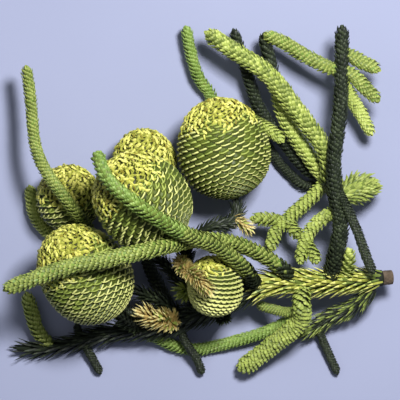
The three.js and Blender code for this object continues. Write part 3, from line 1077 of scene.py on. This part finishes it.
        # Faces below the ridge take the under finish, darker where it paints shade; the ridge takes the lip
        # finish, partly painted highlight.
        zone_of = (0, 0, self.LIP, self.LIP, self.LIP if self.pale_slopes else 1, 1)
        triangles: list[tuple[int, int, int]] = []
        zones: list[int] = []
        for column in range(len(columns) - 1):
            for row in range(rows - 1):
                a = 2 + column * rows + row
                b = a + rows
                triangles += [(a, b, b + 1), (a, b + 1, a + 1)]
                zones += [zone_of[row]] * 2
        last = 2 + (len(columns) - 1) * rows
        for row in range(rows - 1):
            triangles += [(0, 2 + row, 3 + row), (last + row, 1, last + row + 1)]
            zones += [zone_of[row]] * 2
        return Template(np.array(points), np.array(triangles), np.array(zones))


@dataclass(frozen=True)
class LimbGroup:
    """A sub-assembly of limbs.

    Attributes:
        limbs: The limbs, each with its sizes.
    """

    limbs: tuple[Limb, ...] = ()

    def build(self) -> list[bpy.types.Object]:
        """Make every limb of the group."""
        return [piece for limb in self.limbs for piece in limb.build()]


@dataclass(frozen=True)
class MainBough(LimbGroup):
    """The main bough, from its sawn end to its thin tip.

    Attributes:
        limbs: The leafy bough.
        wood_radius: Radius of the bare wood at the sawn end.
        wood_length: Length of the bare wood.
        rings: Radii of the growth rings, as shares of the wood's radius.
    """

    limbs: tuple[Limb, ...] = (
        Limb("bough", (
            BOUGH_ROOT, (233, -138, 88), (123, -141, 96), (15, -189, 50), (-72, -219, 34),
            (-154, -230, 22), (-262, -257, 13), (-339, -261, 12),
        ), (SUNNY_BOUGH, SHADED_BOUGH), (28, 30, 10), Coat.BOUGH, ("_base", "_middle", "_tip"), 22),
    )
    wood_radius: float = 0.0128
    wood_length: float = 0.024
    rings: tuple[float, ...] = (0.0, 0.1, 0.24, 0.36, 0.5, 0.61, 0.74, 0.83, 0.93)

    SIDES = 36
    RINGS = 20
    UNDER_LEAVES = 0.006
    BARK_RELIEF = 0.0005
    BARK_WAVES = (90, 11, 700)
    WOBBLES = 3
    RING_WOBBLE = 0.03
    FACE_GAP = 0.0002

    def build(self) -> list[bpy.types.Object]:
        """Make the leafy bough and its sawn end."""
        return [*super().build(), self._sawn_end()]

    def _sawn_end(self) -> bpy.types.Object:
        """Make the bare wood: rough bark round a face with growth rings.

        Returns:
            Its object.
        """
        path = self.limbs[0].path()
        sleeve = Sleeve(path, lambda s: np.full_like(s, self.wood_radius))
        piece = Piece("sawn_end", (BARK, WOOD_PALE, WOOD_DARK))
        walked = np.linspace(0.0, self.wood_length + self.UNDER_LEAVES, self.RINGS)
        twist, ridges, cracks = self.BARK_WAVES
        points, triangles = sleeve.skin(
            walked,
            self.SIDES,
            lambda s, a: self.BARK_RELIEF * np.sin(ridges * a + twist * s) * np.sin(cracks * s),
        )
        piece.add(points, triangles)
        turn = 2 * math.pi * np.arange(self.SIDES) / self.SIDES
        centre, tangent, normal, binormal = (rows[0] for rows in path.at(np.zeros(1)))
        spokes = normal * np.cos(turn)[:, None] + binormal * np.sin(turn)[:, None]
        wobble = 1 + self.RING_WOBBLE * np.sin(self.WOBBLES * turn)[:, None]
        face = centre - tangent * self.FACE_GAP
        here = np.arange(self.SIDES)
        onward = (here + 1) % self.SIDES
        outward = np.stack((here, onward + self.SIDES, here + self.SIDES), 1)
        band = np.vstack((outward, np.stack((here, onward, onward + self.SIDES), 1)))
        for number, (inner, outer) in enumerate(zip(self.rings, self.rings[1:])):
            low, high = (face + spokes * wobble * share * self.wood_radius for share in (inner, outer))
            piece.add(np.vstack((low, high)), band, 1 + number % 2)
        return piece.make("bough_base")


@dataclass(frozen=True)
class SideBoughs(LimbGroup):
    """The boughs that leave the main bough, and the stem of the whorl."""

    limbs: tuple[Limb, ...] = (
        Limb("lower_bough", (
            (312, -150, 66), (280, -182, 46), (238, -202, 34), (176, -240, 22),
        ), (HALF_SHADED_BOUGH,), (18, 20, 15), Coat.BOUGH),
        Limb("upright_bough", (
            (233, -140, 90), (243, -95, 114), (253, -39, 121), (245, 12, 122), (241, 75, 122),
            (252, 168, 120), (256, 320, 106),
        ), (SHADE,), (15, 12, 11)),
        Limb("whorl_stem", (
            (246, 14, 120), (238, 28, 94), (230, 40, 62), (227, 44, 22),
        ), (SHADE,), (12, 13, 12)),
        Limb("right_bough", (
            (248, 12, 116), (266, 22, 90), (290, 30, 72), (330, 34, 66),
        ), (RIBBED,), (12, 30, 22), Coat.BUSHY),
    )


@dataclass(frozen=True)
class Whorl(LimbGroup):
    """Shoots that fan out from the whorl, and those that pass behind the top cone."""

    limbs: tuple[Limb, ...] = (
        Limb("whorl_shoot_1", (
            (234, 36, 84), (227, 91, 94), (170, 174, 98), (124, 232, 94), (64, 273, 88), (12, 309, 82),
        ), (MOTTLED,), (13, 16, 13)),
        Limb("whorl_shoot_2", (
            (230, 42, 58), (199, 84, 64), (160, 146, 60), (140, 212, 58), (124, 273, 58), (117, 309, 58),
        ), (PALE,), (12, 13, 9), shaded=(200, 500)),
        Limb("whorl_shoot_3", (
            (228, 43, 38), (192, 66, 36), (144, 126, 36), (110, 172, 38), (87, 240, 44), (63, 315, 46),
        ), (SHADE,), (10, 11, 8)),
        Limb("whorl_shoot_4", (
            (226, 44, 16), (193, 34, 14), (165, 55, 12), (142, 80, 10), (112, 128, 9),
        ), (SHADE,), (8, 8, 8)),
        Limb("far_shoot", (
            (124, 110, 9), (84, 136, 8), (36, 158, 9), (22, 197, 18), (0, 230, 26), (-15, 282, 30),
            (-22, 322, 32),
        ), (FRESH,), (9, 10, 9)),
        Limb("blunt_shoot", (
            (84, 136, 8), (96, 150, 34), (112, 143, 54), (135, 128, 64), (154, 111, 66),
        ), (PALE,), (8, 10, 10)),
    )


@dataclass(frozen=True)
class CrownShoots(LimbGroup):
    """Shoots near the top of the upright bough, and the one that hangs beside it."""

    limbs: tuple[Limb, ...] = (
        Limb("crown_shoot_1", (
            (253, 240, 116), (234, 243, 100), (192, 264, 84), (150, 290, 78), (116, 304, 76),
        ), (OLIVE,), (10, 12, 10)),
        Limb("crown_shoot_2", (
            (253, 238, 116), (273, 231, 104), (297, 208, 98), (324, 182, 94),
        ), (OLIVE,), (10, 12, 10)),
        Limb("crown_shoot_3", (
            (252, 222, 116), (264, 208, 92), (280, 180, 72), (293, 158, 64), (312, 122, 60),
        ), (PALE,), (9, 11, 9)),
        Limb("crown_shoot_4", (
            (255, 270, 110), (276, 262, 96), (300, 250, 86), (326, 238, 82),
        ), (OLIVE,), (10, 12, 10)),
        Limb("side_shoot", (
            (247, 26, 122), (262, -2, 134), (284, -52, 131), (300, -96, 122), (312, -124, 118),
        ), (SHADE,), (8, 8, 8)),
    )


@dataclass(frozen=True)
class OpenTwigs(LimbGroup):
    """Open leafy twigs between the whorl and the main bough."""

    limbs: tuple[Limb, ...] = (
        Limb("twig_1", (
            (228, 40, 70), (204, 14, 68), (162, -24, 66), (140, -46, 62), (128, -84, 60),
        ), (RIBBED,), (9, 10, 9), Coat.FISHBONE),
        Limb("twig_2", (
            (152, -32, 64), (134, -28, 66), (114, -26, 68), (93, -25, 70),
        ), (RIBBED,), (9, 10, 8), Coat.FISHBONE),
        Limb("twig_3", (
            (250, -22, 119), (234, -18, 104), (216, -30, 94), (192, -60, 88), (186, -84, 90),
            (181, -106, 94),
        ), (RIBBED,), (9, 10, 9), Coat.FISHBONE),
        Limb("twig_4", (
            (161, -25, 66), (168, -42, 72), (184, -60, 84),
        ), (RIBBED,), (8, 9, 8), Coat.FISHBONE),
        Limb("twig_5", (
            (190, -64, 89), (202, -82, 96), (213, -106, 104),
        ), (RIBBED,), (7, 9, 8), Coat.FISHBONE),
        Limb("bough_shoot", (
            (262, -136, 82), (266, -104, 104), (268, -76, 106),
        ), (PALE,), (9, 11, 9), Coat.FISHBONE),
        Limb("tuft_shoot", (
            (-12, -148, 75), (-26, -156, 94), (-32, -164, 108),
        ), (PALE,), (8, 12, 11), Coat.COMB),
    )


@dataclass(frozen=True)
class Arches(LimbGroup):
    """Long shoots that arch over the cones."""

    limbs: tuple[Limb, ...] = (
        Limb("arch_front", (
            (103, -146, 92), (95, -132, 134), (81, -112, 168), (32, -73, 214), (-25, -50, 258),
            (-101, -4, 300), (-156, 43, 282), (-178, 93, 246),
        ), (OLIVE, DEEP), (12, 13, 10), parts=("_1", "_2"), shaded=(-50, 70)),
        Limb("arch_low", (
            (166, -142, 98), (157, -121, 116), (136, -103, 126), (64, -68, 168), (-9, -63, 210),
            (-70, -76, 259), (-166, -97, 253), (-223, -108, 242), (-342, -150, 212),
        ), (OLIVE,), (12, 13, 12), parts=("_1", "_2"), shaded=(-50, 45)),
        Limb("left_shoot", (
            (-176, -114, 18), (-188, -70, 56), (-197, -40, 104), (-227, 0, 134), (-273, 65, 120),
            (-289, 107, 106), (-298, 191, 94), (-306, 249, 90),
        ), (OLIVE,), (10, 10, 9), parts=("_1", "_2")),
    )


@dataclass(frozen=True)
class ConeStalks(LimbGroup):
    """What carries the cones."""

    limbs: tuple[Limb, ...] = (
        Limb("cone_bough", (
            (-2, -196, 44), (-12, -150, 74), (-22, -102, 112), (-24, -72, 140), (-42, -54, 162),
            (-60, -38, 172),
        ), (SHADE,), (16, 15, 14), Coat.SHAGGY),
        Limb("stalk_cone_top", (
            (-22, -74, 138), (2, -50, 148), (24, -39, 142), (54, -33, 118), (70, -16, 98), (66, 14, 88),
        ), (SHADE,), (11, 12, 14), Coat.SHAGGY),
        Limb("stalk_cone_back", (
            (-40, -208, 36), (-64, -160, 20), (-88, -108, 18), (-96, -30, 24), (-96, 16, 36),
        ), (SHADE,), (11, 11, 12)),
        Limb("stalk_cone_left", (
            (-106, -222, 30), (-140, -180, 16), (-180, -110, 18), (-222, -66, 24), (-238, -38, 34),
        ), (SHADE,), (11, 11, 12)),
        Limb("stalk_cone_low", (
            (-104, -222, 32), (-116, -214, 68), (-130, -206, 88), (-150, -186, 108),
        ), (SHADE,), (12, 12, 13), Coat.SHAGGY),
        Limb("stalk_cone_inner", (
            (36, -180, 58), (44, -196, 92), (43, -198, 112), (40, -186, 128),
        ), (SHADE,), (12, 12, 13), Coat.SHAGGY),
        Limb("dark_shoot_1", (
            (-8, -164, 62), (-32, -140, 62), (-54, -112, 72), (-84, -84, 88),
        ), (SHADE,), (11, 13, 12), Coat.SHAGGY),
        Limb("dark_shoot_2", (
            (-26, -204, 42), (-54, -182, 50), (-86, -166, 60), (-118, -148, 66),
        ), (SHADE,), (12, 14, 12), Coat.SHAGGY),
    )


@dataclass(frozen=True)
class LowerShoots(LimbGroup):
    """The forked pair, the thin shoots under the main bough and those at the left edge."""

    limbs: tuple[Limb, ...] = (
        Limb("fork_thick", (
            (183, -141, 97), (184, -172, 112), (183, -206, 86), (161, -229, 66), (110, -271, 36),
            (72, -298, 20),
        ), (RIBBED,), (14, 15, 14), Coat.FISHBONE),
        Limb("fork_thin", (
            (183, -196, 94), (158, -210, 54), (127, -226, 34), (43, -252, 12), (0, -260, 7.9),
            (-38, -256, 8), (-70, -242, 12), (-104, -228, 22),
        ), (FRESH,), (8, 10, 9)),
        Limb("under_shoot", (
            (184, -182, 108), (160, -192, 80), (130, -186, 64), (104, -178, 54),
        ), (OLIVE,), (7, 8, 8)),
        Limb("thin_shoot_1", ((214, -216, 29), (227, -250, 14), (252, -306, 8)), (SHADE,), (7, 7, 7)),
        Limb("thin_shoot_2", ((-205, -249, 15), (-189, -278, 10), (-174, -306, 8)), (SHADE,), (7, 7, 7)),
        Limb("thin_shoot_3", (
            (-34, -210, 40), (-24, -242, 36), (-2, -278, 20), (9, -306, 8),
        ), (SHADE,), (6, 7, 7)),
        Limb("thin_shoot_4", ((-208, -249, 14), (-214, -232, 18), (-218, -212, 20)), (SHADE,), (7, 7, 7)),
        Limb("edge_shoot_1", (
            (-216, -72, 23), (-262, -56, 16), (-292, -22, 14), (-303, 36, 14),
        ), (PALE,), (9, 10, 10)),
        Limb("edge_shoot_2", (
            (-262, -257, 13), (-288, -226, 18), (-300, -188, 20), (-308, -156, 20),
        ), (PALE,), (9, 12, 11)),
    )


@dataclass(frozen=True)
class DryShoots(LimbGroup):
    """Shoots with dying leaves."""

    limbs: tuple[Limb, ...] = (
        Limb("dry_shoot_1", (
            (-42, -210, 40), (-52, -206, 70), (-80, -202, 84), (-116, -186, 80),
        ), (DYING,), (12, 13, 12), Coat.COMB),
        Limb("dry_shoot_2", (
            (-22, -98, 114), (-29, -106, 150), (-11, -121, 194), (12, -144, 214), (26, -160, 214),
        ), (DYING,), (8, 10, 9), Coat.COMB),
        Limb("dry_shoot_3", (
            (62, -24, 112), (76, -32, 114), (88, -42, 108), (92, -54, 100),
        ), (DYING,), (7, 9, 8), Coat.COMB),
    )


@dataclass(frozen=True)
class Cones:
    """The branch's cones: three large ones in front and three smaller ones behind and between them."""

    cones: tuple[Cone, ...] = (
        Cone(
            "cone_top", (0.045, 0.099, 0.106), (-0.2, 0.96, 0.18), 0.083, 0.093, tuft_from=0.84, horned=0.0,
        ),
        Cone(
            "cone_front", (-0.099, 0.007, 0.200), (-0.61, 0.67, 0.42), 0.083, 0.094,
            turn=GOLDEN_ANGLE, ridge_slope=12.0, horned=0.2,
        ),
        Cone(
            "cone_low", (-0.201, -0.123, 0.141), (-0.58, 0.72, 0.38), 0.080, 0.096,
            turn=math.radians(85.2), ridge_slope=-22.0, horned=1.0,
        ),
        Cone(
            "cone_back", (-0.096, 0.072, 0.062), (0.0, 0.9, 0.43), 0.060, 0.066, 0.00013,
            ridge_slope=20.0, tuft_from=0.6,
        ),
        Cone(
            "cone_left", (-0.231, 0.012, 0.060), (0.1, 0.88, 0.46), 0.058, 0.062, 0.00013,
            ridge_slope=20.0, tuft_from=0.6,
        ),
        Cone(
            "cone_inner", (0.030, -0.144, 0.150), (-0.2, 0.86, 0.47), 0.050, 0.058, 0.000085,
            GOLDEN_ANGLE, ridge_slope=-21.0, young_from=0.8, tuft_from=0.92, horned=0.0, pale_slopes=True,
        ),
    )

    def build(self) -> list[bpy.types.Object]:
        """Make every cone."""
        return [piece for cone in self.cones for piece in cone.build()]


@dataclass(frozen=True)
class Studio:
    """A pale floor, soft lights and a camera that looks straight down.

    Attributes:
        floor_size: Side of the floor.
        camera_height: Height of the camera.
        view_width: Width of the picture at the floor.
        key_from: Where the key light stands.
        key_size: Side of the key light.
        key_power: Power of the key light, in watts.
        fill_from: Where the fill light stands.
        fill_size: Side of the fill light.
        fill_power: Power of the fill light, in watts.
        ambient: Brightness of the light from all round.
        floor_finish: The floor's surface.
    """

    floor_size: float = 40.0
    camera_height: float = 8.0
    view_width: float = 0.72
    key_from: Point = (0.56, 0.8, 2.43)
    key_size: float = 0.5
    key_power: float = 102.0
    fill_from: Point = (-1.5, 0.6, 2.4)
    fill_size: float = 2.0
    fill_power: float = 5.0
    ambient: float = 0.16
    floor_finish: Finish = field(
        default=Finish("floor_paper", (0.3, 0.325, 0.46), (0.33, 0.355, 0.5), 0.85, 0.5, 0.002, 0.00005)
    )

    AMBIENT_TONE = (0.8, 0.86, 1.0, 1.0)
    SENSOR_WIDTH = 36.0
    FARTHEST = 60.0

    def build(self) -> None:
        """Make the floor, the lights and the camera."""
        self._floor()
        self._light("key_light", self.key_from, self.key_size, self.key_power)
        self._light("fill_light", self.fill_from, self.fill_size, self.fill_power)
        self._ambient_light()
        self._camera()
        bpy.context.scene.view_settings.view_transform = "Standard"

    def _floor(self) -> None:
        """Lay the pale floor."""
        half = self.floor_size / 2
        mesh = bpy.data.meshes.new("floor")
        corners = [(-half, -half, 0.0), (half, -half, 0.0), (half, half, 0.0), (-half, half, 0.0)]
        mesh.from_pydata(corners, [], [(0, 1, 2, 3)])
        mesh.materials.append(self.floor_finish.material())
        floor = bpy.data.objects.new("floor", mesh)
        bpy.context.scene.collection.objects.link(floor)

    @staticmethod
    def _light(name: str, place: Point, size: float, power: float) -> None:
        """Add a square soft light that faces the branch.

        Args:
            name: Name of the light.
            place: Where it stands.
            size: Its side.
            power: Its power, in watts.
        """
        lamp = bpy.data.lights.new(name, "AREA")
        lamp.size, lamp.energy = size, power
        light = bpy.data.objects.new(name, lamp)
        light.location = place
        light.rotation_euler = (-Vector(place)).to_track_quat("-Z", "Y").to_euler()
        light.visible_camera = False
        bpy.context.scene.collection.objects.link(light)

    def _ambient_light(self) -> None:
        """Light the scene a little from all round."""
        world = bpy.data.worlds.new("ambient_light")
        world.use_nodes = True
        background = world.node_tree.nodes["Background"]
        background.inputs["Color"].default_value = self.AMBIENT_TONE
        background.inputs["Strength"].default_value = self.ambient
        bpy.context.scene.world = world

    def _camera(self) -> None:
        """Hang a long lens over the middle of the branch."""
        lens = bpy.data.cameras.new("camera")
        lens.sensor_width = self.SENSOR_WIDTH
        lens.lens = lens.sensor_width * self.camera_height / self.view_width
        lens.clip_end = self.FARTHEST
        camera = bpy.data.objects.new("camera", lens)
        camera.location = (0.0, 0.0, self.camera_height)
        bpy.context.scene.collection.objects.link(camera)
        bpy.context.scene.camera = camera


def main() -> None:
    """Build the studio and the branch, and report each sub-assembly."""
    Studio().build()
    groups = (
        Cones(), MainBough(), SideBoughs(), Whorl(), CrownShoots(), OpenTwigs(), Arches(), ConeStalks(),
        LowerShoots(), DryShoots(),
    )
    total = 0
    for group in groups:
        pieces = group.build()
        faces = sum(len(piece.data.polygons) for piece in pieces)
        total += faces
        LOG.info("%s: %d pieces, %d triangles", type(group).__name__, len(pieces), faces)
    LOG.info("whole branch: %d triangles", total)


if __name__ == "__main__":
    main()
